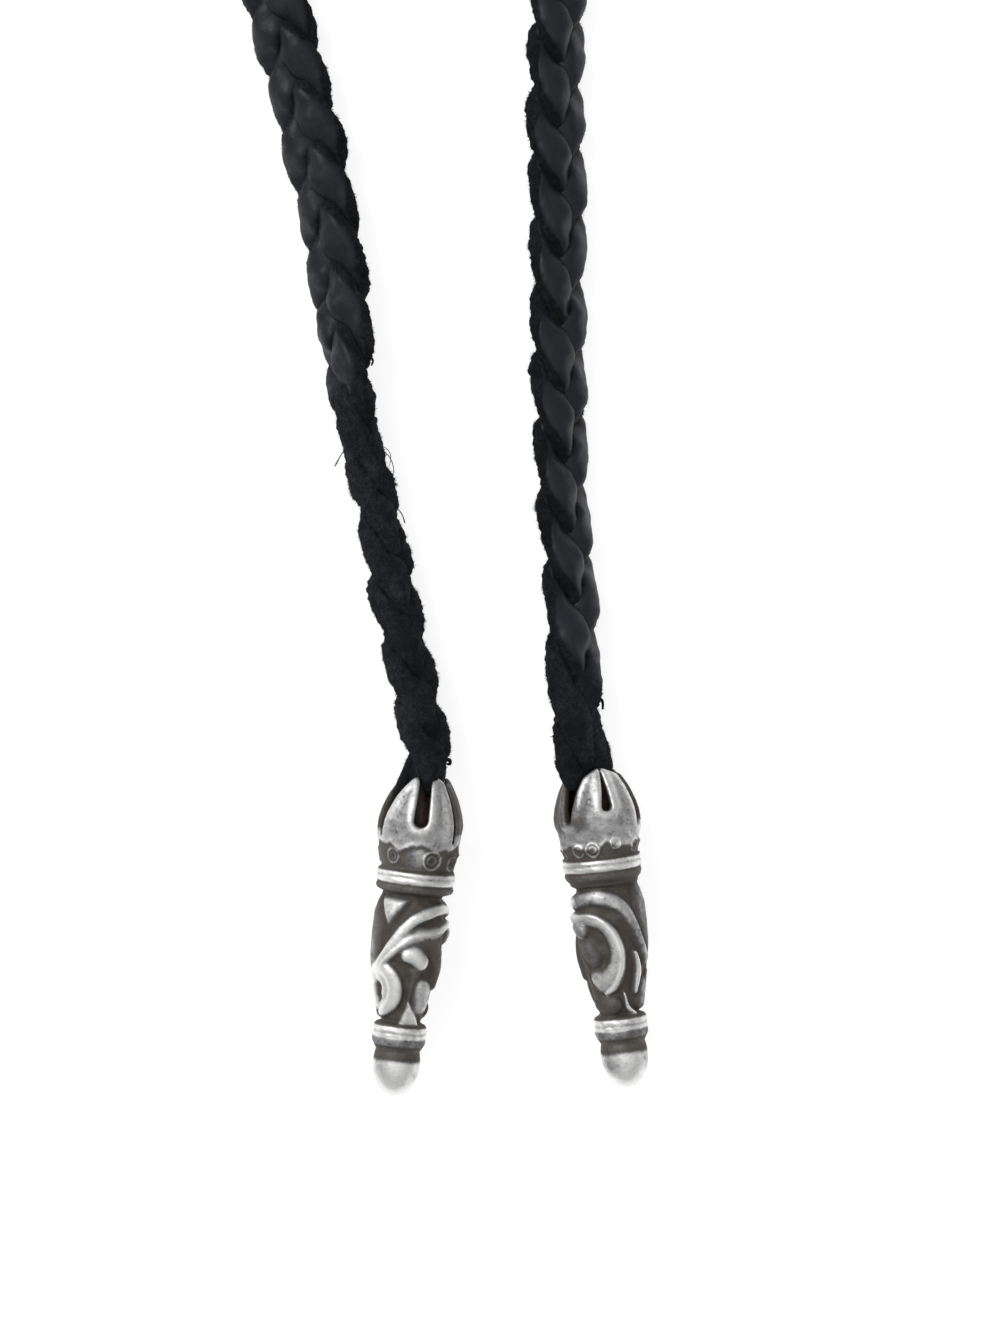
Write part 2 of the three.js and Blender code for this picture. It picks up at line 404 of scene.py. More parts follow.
# The dyed grain, lighter where it is rubbed in patches and streaks, with painted shade that darkens it
# towards the border of each lace, where it dips under its neighbours; and the nap.
GRAIN = (0.0088, 0.0102, 0.0148, 1.0)
GRAIN_RUBBED = (0.0135, 0.0155, 0.0215, 1.0)
GRAIN_PAINTED_SHADE = (0.005, 0.0058, 0.0082, 1.0)
NAP_ROOT = (0.009, 0.0102, 0.0124, 1.0)
NAP_END = (0.040, 0.0445, 0.052, 1.0)
# The dye is thin on the cut ends inside the tips, and the brown of the hide shows.
RAW_HIDE = (0.075, 0.052, 0.046, 1.0)
# One cut edge of each lace lies turned down between its neighbours, and painted shade darkens the nap on it
# by this share.
TURNED_DOWN_PAINTED_SHADE = 0.42

leather_material, plan = surface("black_leather")
place = plan.node("ShaderNodeTexCoord", {}, {}, "Object")
patches = noise(place, 240.0, 3.0)
creases = noise(place, 900.0, 6.0, 0.6)
clumps = noise(place, 1500.0, 3.0)
fibres = noise(place, 5200.0, 5.0, 0.75)
pores = plan.node("ShaderNodeTexVoronoi", {"feature": "F1"}, {"Vector": place, "Scale": 3600.0}, "Distance")
aside = painted("aside")
streaks = noise(combined(painted("turns") * 9.0, aside * 5.0), 1.0, 5.0, 0.65)

smooth_side = (painted("grain") + (noise(place, 1300.0, 3.0) - 0.5) * 0.7).rise(0.25, 0.85)
rubbed = (patches + (streaks - 0.5) * 0.7).rise(0.3, 0.75).pick(GRAIN, GRAIN_RUBBED)
# Painted shade: the grain darkens towards both borders of each lace, where it runs under its neighbours.
grain_colour_with_shade = aside.abs().rise(0.55, 0.95).pick(rubbed, GRAIN_PAINTED_SHADE)
nap_light = (fibres + (patches - 0.5) * 0.5 + (clumps - 0.5) * 0.4).rise(0.4, 0.85)
# Painted shade on the nap of the turned-down edge, left off where the lace is turned flesh side out.
turned_down_shade = (aside * -1.0).rise(0.4, 0.95) * (1 - painted("flesh_out"))
nap_colour_with_shade = nap_light.pick(NAP_ROOT, NAP_END) * (1 - turned_down_shade * TURNED_DOWN_PAINTED_SHADE)
colour = painted("tucked").pick(smooth_side.pick(nap_colour_with_shade, grain_colour_with_shade), RAW_HIDE)
smooth_relief = creases * 0.5 - pores * 0.25 + streaks * 1.1
nap_relief = fibres * 1.2 + clumps * 1.6
relief = smooth_side * smooth_relief + (1 - smooth_side) * nap_relief
finish_material(relief, 0.6, 0.12 * MM, {
    "Base Color": colour, "Roughness": smooth_side * (creases * 0.22 - 0.5) + 0.95,
    "Specular IOR Level": 0.14, "Coat Weight": smooth_side * 0.26, "Coat Roughness": 0.36,
})


def new_tree(name, numbers):
    """A geometry tree with its Plan, its input geometry and a wire for each named number."""
    tree = bpy.data.node_groups.new(name, "GeometryNodeTree")
    tree.interface.new_socket("Geometry", in_out="INPUT", socket_type="NodeSocketGeometry")
    for label in numbers:
        tree.interface.new_socket(label, in_out="INPUT", socket_type="NodeSocketFloat")
    tree.interface.new_socket("Geometry", in_out="OUTPUT", socket_type="NodeSocketGeometry")
    plan = Plan(tree)
    start = plan.node("NodeGroupInput")
    return plan, start, {label: start.other(label) for label in numbers}


def finish_tree(geometry, material):
    """The tree with its geometry made real and given its material."""
    real = plan.node("GeometryNodeRealizeInstances", {}, {0: geometry})
    covered = plan.node("GeometryNodeSetMaterial", {}, {"Geometry": real, "Material": material})
    plan.end("NodeGroupOutput", covered)
    return plan.tree


def made_plain(carrier, name):
    """A plain mesh object with the finished shape of a carrier, which is removed."""
    depsgraph = bpy.context.evaluated_depsgraph_get()
    mesh = bpy.data.meshes.new_from_object(
        carrier.evaluated_get(depsgraph), preserve_all_data_layers=True, depsgraph=depsgraph
    )
    mesh.name = name
    bpy.data.objects.remove(carrier)
    return put(name, mesh)


def built(name, base, tree, numbers):
    """The plain mesh object that a tree makes from a base mesh."""
    carrier = put(name + "_base", base)
    modifier = carrier.modifiers.new("build", "NODES")
    modifier.node_group = tree
    for item in tree.interface.items_tree:
        if item.in_out == "INPUT" and item.name in numbers:
            modifier[item.identifier] = float(numbers[item.name])
    return made_plain(carrier, name)


def position():
    return plan.node("GeometryNodeInputPosition")


def named(name, kind="FLOAT"):
    """A value stored on the points under a name."""
    return plan.node("GeometryNodeInputNamedAttribute", {"data_type": kind}, {"Name": name})


def stored(geometry, name, value, kind="FLOAT"):
    """The geometry with a value stored on its points under a name."""
    sockets = {"Geometry": geometry, "Name": name, "Value": value}
    return plan.node("GeometryNodeStoreNamedAttribute", {"data_type": kind, "domain": "POINT"}, sockets)


def moved(geometry, how, value):
    """The geometry with its points moved by an Offset or to a Position."""
    return plan.node("GeometryNodeSetPosition", {}, {"Geometry": geometry, how: value})


def wander(offset, size):
    """A slow irregularity along the plait, from -size to size, different for each lace."""
    shifted = named("turns") * 1.7 + given["Phase"] * 41.0 + offset
    waves = plan.node(
        "ShaderNodeTexNoise", {"noise_dimensions": "1D"}, {"W": shifted, "Scale": 1.0, "Detail": 1.0}
    )
    return (waves - 0.5) * (2 * size)


# How much narrower, flatter and thinner the laces are where a mouth holds them.
HELD_NARROWER = 0.45
HELD_FLATTER = 0.6
HELD_THINNER = 0.38

numbers = ("Phase", "Width", "Thickness", "Spread", "Depth", "Dive", "Lean", "Nap")
plan, start, given = new_tree("lace", numbers)
curve = plan.node("GeometryNodeMeshToCurve", {}, {0: start})
curve = stored(curve, "middle", position(), "FLOAT_VECTOR")
across_wire = named("across", "FLOAT_VECTOR")
front_wire = named("front", "FLOAT_VECTOR")
held = named("hold")
angle = (named("turns") + given["Phase"]) * (2 * math.pi)
swing = angle.sin()
weave = (angle * 2).sin()
lift = angle.cos()
gather = 1 - held * HELD_NARROWER
sideways = across_wire * (swing * given["Spread"] * gather * (1 + wander(3.0, 0.16)))
deep = front_wire * (weave * given["Depth"] * gather * (1 + wander(7.0, 0.12)))
plaited = moved(curve, "Offset", sideways - deep)

# A lace leans over as it dives under its neighbours.
lean = lift * lift * lift * given["Dive"] - swing * weave * given["Lean"] + wander(11.0, 0.3)
lean = lean * (1 - held * HELD_FLATTER)
facing = front_wire * lean.cos() + across_wire * lean.sin()
tangent = plan.node("GeometryNodeInputTangent")
square = (facing - tangent * facing.dot(tangent)).unit()
faced = plan.node("GeometryNodeSetCurveNormal", {"mode": "FREE"}, {"Curve": plaited, "Normal": square})

# Its section is a flattened ring, with the grain on the upper half.
SQUARENESS = 0.74
circle = plan.node("GeometryNodeCurvePrimitiveCircle", {}, {"Resolution": 28, "Radius": 1.0})
corner = position()
circle_x = corner.part("X")
circle_y = corner.part("Y")
marked = stored(circle, "grain", circle_y.rise(0.1, 0.65))
marked = stored(marked, "aside", circle_x)
out_x = circle_x.sign() * circle_x.abs() ** SQUARENESS * (given["Width"] * 0.5)
out_y = circle_y.sign() * circle_y.abs() ** SQUARENESS * (given["Thickness"] * 0.5)
profile = moved(marked, "Position", combined(out_y, -1.0 * out_x))
thickness = 1 - held * HELD_THINNER + wander(19.0, 0.08)
swept = plan.node(
    "GeometryNodeCurveToMesh", {},
    {"Curve": faced, "Profile Curve": profile, "Scale": thickness, "Fill Caps": True},
)
swept = stored(swept, "grain", named("grain") * (1 - named("flesh_out")))

# The flesh side is tufted, the whole lace is dented a little, and nothing sinks into the table.
TABLE_GAP = 0.04
rough_side = (1 - named("grain")).rise(0.3, 0.8)
here = position()
tufts = noise(here, 1600.0, 3.0, 0.7) - 0.5
dents = noise(here, 420.0, 2.0) - 0.5
push = rough_side * tufts * given["Nap"] + dents * (given["Nap"] * 0.7)
rough = moved(swept, "Offset", plan.node("GeometryNodeInputNormal") * push)
spot = position()
above = spot.part("Z").most(TABLE_GAP * MM)
laid = moved(rough, "Position", combined(spot.part("X"), spot.part("Y"), above))
lace_tree = finish_tree(plan.node("GeometryNodeSetShadeSmooth", {}, {"Geometry": laid}), leather_material)

lace_sizes = {
    "Width": LACE_WIDTH * MM, "Thickness": LACE_THICKNESS * MM, "Spread": SPREAD * MM, "Depth": DEPTH * MM,
    "Dive": math.radians(45), "Lean": math.radians(32), "Nap": 1.0 * MM,
}
laces = []
for i in range(3):
    lace = built(f"lace_{i + 1}", route_mesh, lace_tree, {**lace_sizes, "Phase": i / 3})
    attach(lace, "root")
    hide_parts("braid")
    laces.append(lace)

# ------------------------------------------------
# Nap: short frayed fibres that stand off the flesh side and the cut edges of the laces, with a few longer
# strays. They are part of the leather and only thick enough to be seen where they cross the outline.


def random_number(low, high, seed):
    return plan.node("FunctionNodeRandomValue", {"data_type": "FLOAT"}, {2: low, 3: high, "Seed": seed}, 1)


def scattered(ground, density, seed, fibre, length, thickness, spread):
    """Copies of a fibre on a surface, standing along its normal give or take the spread. Without a thickness
    a fibre grows the same in every direction."""
    points = plan.node(
        "GeometryNodeDistributePointsOnFaces", {"distribute_method": "RANDOM"},
        {"Mesh": ground, "Density": density, "Seed": seed},
    )
    tilt = plan.node(
        "FunctionNodeRandomValue", {"data_type": "FLOAT_VECTOR"},
        {"Min": (-spread,) * 3, "Max": (spread,) * 3, "Seed": seed + 1},
    )
    way = points.other("Normal") + tilt
    aim = plan.node("FunctionNodeAlignRotationToVector", {"axis": "Z"}, {"Vector": way})
    turn = random_number(0.0, 2 * math.pi, seed + 2)
    spin = plan.node("FunctionNodeAxisAngleToRotation", {}, {"Axis": (0.0, 0.0, 1.0), "Angle": turn})
    pose = plan.node("FunctionNodeRotateRotation", {"rotation_space": "LOCAL"}, {0: aim, 1: spin})
    long = length * random_number(0.4, 1.0, seed + 3)
    wide = long if thickness is None else thickness
    sockets = {"Points": points, "Instance": fibre, "Rotation": pose, "Scale": combined(wide, wide, long)}
    return plan.node("GeometryNodeInstanceOnPoints", {}, sockets)


plan, start, given = new_tree("nap", ("Density", "Length", "Thickness", "Strays", "Stray length"))
spike = plan.node(
    "GeometryNodeMeshCone", {"fill_type": "NGON"},
    {"Vertices": 3, "Side Segments": 1, "Radius Top": 0.0, "Radius Bottom": 1.0, "Depth": 1.0},
)
line = plan.node("GeometryNodeCurvePrimitiveLine", {}, {"Start": (0.0, 0.0, 0.0), "End": (0.0, 0.0, 1.0)})
line = plan.node("GeometryNodeResampleCurve", {}, {"Curve": line, "Count": 7})
rise = position().part("Z")
bend_x = (rise * 3.6).sin() * rise * 0.35
bend_y = (rise * 5.1).sin() * rise * 0.2
line = moved(line, "Offset", combined(bend_x, bend_y))
ring = plan.node("GeometryNodeCurvePrimitiveCircle", {}, {"Resolution": 3, "Radius": 0.013})
hair = plan.node(
    "GeometryNodeCurveToMesh", {},
    {"Curve": line, "Profile Curve": ring, "Scale": 1.0 - rise * 0.6, "Fill Caps": True},
)

# Fibres grow only on the flesh and the edges, away from the middle of the plait and clear of the table. Far
# from the tips they are worn down to a few.
WORN_SHARE = 0.12
spot = position()
bare = (1 - named("grain")).rise(0.4, 0.8)
from_middle = spot - named("middle", "FLOAT_VECTOR")
reach = from_middle.dot(from_middle) ** 0.5
outer = reach.rise(2.0 * MM, 2.7 * MM) * spot.part("Z").rise(0.3 * MM, 0.9 * MM)
clump = noise(spot, 850.0, 2.0)
where = given["Density"] * bare * outer * clump.rise(0.35, 0.65, 0.2, 1.0)
where = where * (named("fresh") * (1 - WORN_SHARE) + WORN_SHARE)
tall = given["Length"] * clump.rise(0.4, 0.7, 0.4, 1.6)
short_fibres = scattered(start, where, 11, spike, tall, given["Thickness"], 0.95)
strays = scattered(start, given["Strays"] * bare * outer, 31, hair, given["Stray length"], None, 0.9)
both = plan.node("GeometryNodeJoinGeometry", {}, {0: short_fibres})
plan.join(strays, both.socket.node.inputs[0])
nap_tree = finish_tree(both, leather_material)

LACE_NAP = {
    "Density": 33.0 / MM**2, "Length": 0.36 * MM, "Thickness": 0.023 * MM, "Strays": 0.05 / MM**2,
    "Stray length": 0.9 * MM,
}
SHRED_NAP = {
    "Density": 380.0 / MM**2, "Length": 0.3 * MM, "Thickness": 0.022 * MM, "Strays": 0.0, "Stray length": MM,
}

for i, lace in enumerate(laces):
    nap = built(f"nap_{i + 1}", lace.data, nap_tree, LACE_NAP)
    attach(nap, "root")

# Loose shreds torn from the cut edges, and two lobes of leather that spill over the mouths of the tips: how
# thick each is, and its points of x, y and height.
SHREDS = [
    (0.42, [
        (3.9, -165, 4.4), (4.7, -165.1, 4.8), (5.25, -165.2, 4.7), (5.2, -165.75, 4.4), (4.8, -165.6, 4.4),
    ]),
    (0.09, [
        (-2.6, -130.8, 3), (-1.7, -131.4, 3.3), (-1.1, -132.5, 3.3), (-0.95, -133.7, 3), (-1.4, -134.6, 2.8),
    ]),
    (0.07, [(-2.4, -130.5, 3.0), (-1.6, -130.9, 3.1), (-1.25, -131.9, 3.0), (-1.5, -132.8, 2.9)]),
    (0.12, [(-0.9, -137.2, 3.0), (0.0, -137.9, 3.2), (0.2, -139.1, 3.0)]),
    (0.24, [(-4.4, -120.2, 3.0), (-3.6, -120.7, 3.2), (-3.2, -121.2, 3.0), (-3.5, -121.7, 2.9)]),
    (0.12, [(-6.2, -130.6, 3.0), (-6.9, -131.6, 3.2), (-7.5, -132.8, 3.0)]),
    (0.3, [(20.9, -157.6, 3.4), (21.7, -158.3, 3.6), (22.1, -158.9, 3.7), (22.0, -159.6, 3.5)]),
    (1.25, [
        (1.3, -164.4, 5.9), (0.6, -166.3, 6.1), (-0.1, -168.1, 5.9), (-0.75, -169.8, 5.3),
        (-1.2, -171.2, 4.7),
    ]),
    (2.2, [(18.0, -163.9, 6.0), (18.0, -165.6, 6.5), (18.5, -167.1, 6.7), (18.95, -168.1, 6.4)]),
]
# A shred swells a little and then tapers to its end.
SHRED_TAPER = (0.8, 1.0, 1.1, 0.8, 0.5)

for i, (thickness, points) in enumerate(SHREDS):
    path = bpy.data.curves.new(f"shred_path_{i + 1}", "CURVE")
    path.dimensions = "3D"
    path.bevel_depth = thickness / 2 * MM
    path.bevel_resolution = 1
    path.use_fill_caps = True
    spline = path.splines.new("NURBS")
    spline.points.add(len(points) - 1)
    for point, (x, y, z), radius in zip(spline.points, points, SHRED_TAPER):
        point.co = (x * MM, y * MM, z * MM, 1.0)
        point.radius = radius
    spline.use_endpoint_u = True
    spline.order_u = 3
    shred = made_plain(put(f"shred_{i + 1}_path", path), f"shred_{i + 1}")
    shred.data.materials.clear()
    shred.data.materials.append(leather_material)
    fuzz = built(f"shred_nap_{i + 1}", shred.data, nap_tree, SHRED_NAP)
    for piece in (shred, fuzz):
        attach(piece, "root")

# ------------------------------------------------
# Silver tips: two castings from one pattern, hollow at the mouth, with six slots between petals, a collar
# of ring punches, a body of scrolls between two rings and a plain dome. They were blackened all over and
# then polished on the high spots.

# Radius against the distance from the mouth, over the tops of the ornament.
OUTLINE = [
    (0, 2.35), (0.4, 2.62), (0.9, 2.95), (1.5, 3.3), (2.2, 3.7), (3, 4.03), (4, 4.38), (5, 4.6), (6, 4.65),
    (7, 4.58), (8, 4.46), (9, 4.32), (9.8, 4.1), (10.15, 3.98), (10.4, 4.2), (10.75, 4.33), (11.5, 4.33),
    (11.85, 4.14), (12.2, 4.28), (12.55, 4.15), (12.95, 3.74), (13.3, 3.72), (14.1, 3.98), (15.2, 4.2),
    (17.6, 4.22), (20, 4.18), (21, 4.05), (22.7, 3.72), (24.4, 3.32), (25.6, 3.08), (26.6, 2.86),
    (27.2, 2.66), (27.5, 2.84), (27.9, 2.97), (28.4, 2.95), (28.75, 2.88), (29.1, 2.93), (29.5, 2.88),
    (29.9, 2.66), (30.3, 2.44), (31, 2.36), (31.8, 2.5), (36, 2.5),
]
# Radius of the hollow in the mouth against the same distance.
HOLLOW = [(-1, 1.72), (0, 1.95), (1, 2.3), (2, 2.85), (4, 3.5), (6, 3.75), (8.3, 3.2), (9.6, 2.3)]
HOLLOW_FLOOR = 9.6
DOME_AT = 31.7
DOME_RADIUS = 2.6
TIP_LENGTH = 35.4
# How far the edges are rounded over, and how near the axis the slots may come.
DOME_EDGE = 0.05
HOLLOW_EDGE = 0.25
MOUTH_EDGE = 0.4
SLOT_EDGE = 0.34
SLOT_CLEARANCE = 1.2
# The six slots of each tip, cut by hand: degrees round at the mouth, degrees it leans by at its foot, half
# width at the mouth and at the round foot, and how far down it reaches.
SLOTS = {
    "left_tip": [
        (0, -2.5, 0.6, 0.78, 5.4), (52, 1, 0.12, 0.26, 7.0), (118, 0, 0.2, 0.56, 5.6),
        (180, 0, 0.2, 0.56, 5.2), (242, 0, 0.2, 0.56, 5.6), (288, 0, 1.5, 0.55, 6.9),
    ],
    "right_tip": [
        (0, 0, 0.2, 0.56, 5.4), (58, 0, 0.2, 0.56, 5.6), (122, 0, 1.2, 0.4, 5.6),
        (188, -6, 0.0, 0.56, 4.6), (240, 0, 0.25, 0.5, 6.6), (300, 0, 0.2, 0.56, 5.4),
    ],
}
# How bright the faces of the petals are, degrees round and brightness: the polish left on them, with painted
# shade that makes the petals at the two sides of each bell near black.
PETAL_POLISH_AND_SHADE = {
    "left_tip": [
        (0, 0.5), (50, 0.56), (54, 0.09), (116, 0.09), (120, 0.3), (178, 0.34), (240, 0.34), (244, 0.03),
        (286, 0.03), (290, 0.38), (340, 0.4), (360, 0.48),
    ],
    "right_tip": [
        (0, 0.34), (56, 0.34), (60, 0.12), (118, 0.1), (138, 0.1), (156, 0.4), (178, 0.58), (196, 0.48),
        (238, 0.42), (242, 0.03), (298, 0.03), (302, 0.34), (360, 0.34),
    ],
}
# The edge of the mouth: how far down it lies, how much it rises and falls, how often, and from where.
LIPS = {"left_tip": (0.25, 0.3, 6, 0), "right_tip": (0.4, -0.45, 3, 188)}
# How much nearer the mouth the upper ring sits than in the pattern, where the petals give way to the collar,
# where round the dome painted shade darkens its sides and by how much, and how each tip is turned about its
# axis.
RING_RAISED = {"left_tip": 0.0, "right_tip": 0.6}
PETAL_FOOT = {"left_tip": 7.75, "right_tip": 8.5}
DOME_SIDE_PAINTED_SHADE = {"left_tip": [(-45, 0.45), (62, 0.3)], "right_tip": [(118, 0.5), (232, 0.35)]}
SPINS = {"left_tip": 2.0, "right_tip": 193.0}

# The pattern is worked out flat: degrees round the tip one way, millimetres from the mouth the other.
ROW_STEP = 0.05
ROUND = np.linspace(-180, 180, 640, endpoint=False)
DOWN = np.arange(0, 36, ROW_STEP)
outline_rows = np.interp(DOWN, *zip(*OUTLINE))
body = np.zeros((len(DOWN), len(ROUND)))
shine = np.zeros_like(body)


def wrapped(degrees):
    return (degrees + 180) % 360 - 180


def raise_to(rows, height, gloss):
    """Bring the pattern up to a height where it is lower, and give that part its own gloss."""
    higher = height > body[rows]
    body[rows] = np.where(higher, height, body[rows])
    shine[rows] = np.where(higher, gloss, shine[rows])


def away_squared(rows, turn, distance, size):
    """The square of how far the cells of some rows lie from a place, measured in a size."""
    round_tip = np.radians(wrapped(ROUND - turn))[None, :] * outline_rows[rows, None]
    return (round_tip**2 + (DOWN[rows, None] - distance) ** 2) / size**2


def scroll(points, height=1.0, sharpness=0.5, gloss=0.95):
    """Raise a rounded band through points of (degrees, distance from the mouth, half width)."""
    for turn, distance, half_width in catmull_rom(points, 24):
        rows = slice(*np.searchsorted(DOWN, (distance - half_width, distance + half_width)))
        t = away_squared(rows, turn, distance, half_width)
        raise_to(rows, height * np.clip(1 - t, 0, 1) ** sharpness, gloss)


def leaf(corners, height, edge, gloss):
    """Raise a flat leaf between corners given in turn, with rounded edges."""
    centre = np.mean(corners, axis=0)
    radius = np.interp(centre[1], DOWN, outline_rows)
    flat = [(np.radians(wrapped(c[0] - centre[0])) * radius, c[1]) for c in corners]
    u = np.radians(wrapped(ROUND - centre[0]))[None, :] * radius
    within = np.full(body.shape, np.inf)
    for (u0, s0), (u1, s1) in zip(flat, flat[1:] + flat[:1]):
        inward = ((s1 - s0) * (u - u0) - (u1 - u0) * (DOWN[:, None] - s0)) / math.hypot(u1 - u0, s1 - s0)
        within = np.minimum(within, inward)
    raise_to(slice(None), height * smoothstep(within, -0.05, edge) ** 0.7, gloss)


def sink(turn, distance, size, depth):
    """Press a round dimple of a given size."""
    t = away_squared(slice(None), turn, distance, size)
    body[:] -= depth * np.exp(-2 * t)
    shine[:] *= 1 - 0.8 * np.exp(-1.5 * t)


# One long scroll starts low on the left, climbs over the front and comes down the back to a bulb.
scroll([
    (-72, 21.9, 0.5), (-50, 20.3, 0.6), (-31, 18.6, 0.7), (-14, 16.9, 0.76), (6, 15.5, 0.78),
    (33, 14.6, 0.74), (54, 14.3, 0.66), (74, 14.3, 0.62), (98, 14.6, 0.7),
], gloss=0.86)
scroll([
    (98, 14.6, 0.7), (116, 14.1, 0.85), (148, 13.9, 0.98), (177, 14.5, 0.96), (195, 15.6, 0.88),
    (210, 17.4, 0.8), (221, 19.2, 0.72), (234, 20.8, 0.68), (238, 21.3, 0.82),
], gloss=0.52)
# Its twin runs below it as a broad band, then narrows and curls into a crescent with a heavy lower end.
scroll([
    (-46, 20.9, 0.35), (-21, 19, 0.6), (0, 17.7, 0.8), (16, 17.2, 0.95), (34, 17, 0.9), (52, 16.7, 0.7),
    (70, 16.3, 0.58), (88, 16.1, 0.6), (108, 16.4, 0.66), (123, 16.4, 0.7), (142, 16.5, 0.76),
    (159, 17.2, 0.86), (171, 18.6, 0.98), (175, 20.2, 1.1), (171, 21.7, 1.25), (159, 22.9, 1.5),
    (144, 23.3, 1.5), (130, 22.9, 1.1),
], 0.95, 0.45, 0.58)
# The underside of the band slopes off softly towards the hook.
scroll([(-12, 18.9, 0.9), (14, 18.4, 1.3), (36, 18.1, 1.4), (54, 18, 1.2)], 0.6, 0.8, 0.3)
# A thin bright bead runs along the twin from end to end.
scroll([
    (-46, 20.75, 0.22), (-21, 18.95, 0.3), (0, 17.65, 0.3), (14, 17.2, 0.3), (36, 16.85, 0.3),
    (60, 16.4, 0.3), (88, 15.8, 0.3), (112, 15.9, 0.3), (135, 15.85, 0.32), (155, 16.5, 0.36),
    (172, 18.2, 0.42), (180, 20.2, 0.42), (176, 22.2, 0.42), (160, 24, 0.4), (144, 24.6, 0.3),
], 1.08)
# The crescent starts in a round head.
scroll([(106, 17, 1), (113, 17.4, 1.2)], 1.5, 0.6, 0.42)
# A broad hook falls from the band on the right of the front.
scroll([
    (26, 17.6, 0.85), (44, 18.3, 1.05), (57, 19.6, 1.08), (66, 21.2, 0.95), (66, 22.8, 0.6),
], 0.9, gloss=0.26)
# Bud on its stem, in the middle of the front.
scroll([(-2, 19.5, 0.85), (11, 19.5, 1.15), (24, 20.1, 1.05)], 1.08, gloss=0.88)
scroll([(17, 21.4, 0.7), (13, 22.8, 0.46), (11, 24.4, 0.3)], 0.62, gloss=0.3)
# Curl with a deep eye, low on the left, and a bud facing it.
scroll([
    (-74, 21.7, 0.7), (-50, 21.3, 1), (-30, 22, 1.2), (-22, 23.3, 1.25), (-26, 24.6, 1.15),
    (-40, 25.5, 0.9), (-58, 26.2, 0.6),
], 1.05, 0.55)
scroll([(-54, 22.4, 1.2), (-46, 23.4, 1.3), (-50, 24.6, 1.2)], 0.98, gloss=0.85)
scroll([(-84, 22.3, 1.1), (-78, 23.6, 1.5), (-74, 25, 1.3)], 0.98, gloss=0.8)
sink(-58, 23.4, 0.72, 1.4)
sink(-58, 24.4, 0.6, 1.2)
scroll([(34, 22.9, 1.1), (41, 23.8, 1.6), (44, 25, 1.35)], 1.1, 0.7, 0.62)
# Leaves: one hanging from the upper ring, one standing on the lower ring with a vein to its right, and a
# large smooth one at the back.
leaf([(-78, 13), (-40, 17.2), (4, 13)], 0.95, 1, 0.66)
leaf([(-24, 28.4), (74, 28.4), (10, 23.9)], 0.95, 0.8, 0.78)
scroll([(10, 24.8, 0.2), (24, 26.2, 0.26), (46, 27.6, 0.28)], 1.1)
scroll([
    (-116, 13.9, 1.5), (-106, 15.8, 2.7), (-90, 17.8, 2.8), (-82, 20, 1.8), (-78, 21.6, 0.8),
], 0.95, 0.35, 0.4)
# Knob in the hollow of the crescent, and small leaves at its foot.
scroll([(119, 19.6, 1.3), (131, 20.5, 1.2)], 0.85, 0.7, 0.34)
scroll([(158, 25.9, 1), (140, 26.1, 1.3), (122, 25.8, 1.2)], 1.3, 0.6, 0.1)
sink(150, 20.6, 0.7, 0.12)
scroll([(-153, 20.4, 0.26), (-145, 22.6, 0.5), (-151, 24.8, 0.26)], 0.98)
scroll([(-126, 24, 0.9), (-128, 25.9, 1.05)], 0.88, 0.6, 0.42)
scroll([(-179, 24.7, 0.18), (-171, 26.4, 0.32), (-150, 27.2, 0.36)], 0.95)
scroll([(-98, 23, 0.6), (-103, 24.6, 0.8), (-101, 26.4, 0.6)], 0.9, gloss=0.6)


def softened(table, passes):
    """Average each cell with its neighbours round and down the tip, a number of times."""
    for _ in range(passes):
        for axis in (0, 1):
            table = (np.roll(table, 1, axis) + 2 * table + np.roll(table, -1, axis)) / 4
    return table


carved = softened(body, 9)
carved_shine = softened(shine * smoothstep(body, 0.2, 1.0), 18)


def slots_gap(turn, radius, distance, slots):
    """How far a place lies outside the nearest of the slots between the petals, in millimetres."""
    nearest = np.full(np.broadcast_shapes(turn.shape, radius.shape, distance.shape), np.inf)
    for place, lean, top, low, depth in slots:
        from_slot = np.radians(wrapped(np.degrees(turn) - place - lean * np.clip(distance / depth, 0, 1)))
        beside = radius * np.sin(np.abs(from_slot))
        past = np.maximum(distance - (depth - low), 0)
        half_width = top + (low - top) * np.clip(distance / (depth - low), 0, 1)
        gap = np.where(np.abs(from_slot) < 1.5, np.hypot(beside, past) - half_width, np.inf)
        nearest = np.minimum(nearest, gap)
    return nearest


def band(value, start, end, soft=0.2):
    """One between start and end, zero outside, with soft ends."""
    return smoothstep(value, start - soft, start + soft) * (1 - smoothstep(value, end - soft, end + soft))


# Where the scrolls start and end, and how deep the ground lies under them.
BODY_FROM = 12.6
BODY_TO = 27.4
GROUND = 0.62
# A fine groove cuts each ring. The rims of the petals and the punches stand up, and the collar lies back.
GROOVES_AT = (11.03, 28.3)
GROOVE_WIDTH = 0.15
GROOVE_DEPTH = 0.08
RIM_HEIGHT = 0.16
PUNCH_HEIGHT = 0.2
COLLAR_DEPTH = 0.12
# How bright each part was polished, from 0, black, to 1.
RIM_POLISH = 0.66
FOOT_POLISH = 0.48
FOOT_EDGE_POLISH = 0.3
COLLAR_POLISH = 0.16
RUBBED_POLISH = 0.34
PUNCH_POLISH = 0.4
GROOVE_DULLNESS = 0.3
DOME_POLISH = 0.93
# The upper ring, its lip, the lower ring, its lip and the neck: start, end, softness of both and polish.
BANDS = [
    (10.5, 11.75, 0.15, 0.84), (12, 12.6, 0.15, 0.22), (27.6, 28.9, 0.15, 0.84), (28.95, 29.75, 0.12, 0.36),
    (30, 31, 0.1, 0.2),
]
# Ring punches round the collar: degrees round, distance from the mouth and radius of the outer ring.
PUNCHES = [
    (21, 8.95, 0.98), (61, 9.15, 0.75), (87, 9.2, 0.9), (131, 8.75, 0.62), (154, 8.7, 0.72), (189, 8.2, 0.5),
    (228, 8.7, 0.66), (262, 9.0, 0.72), (319, 8.8, 0.74),
]
COLLAR_RADIUS = 4.35


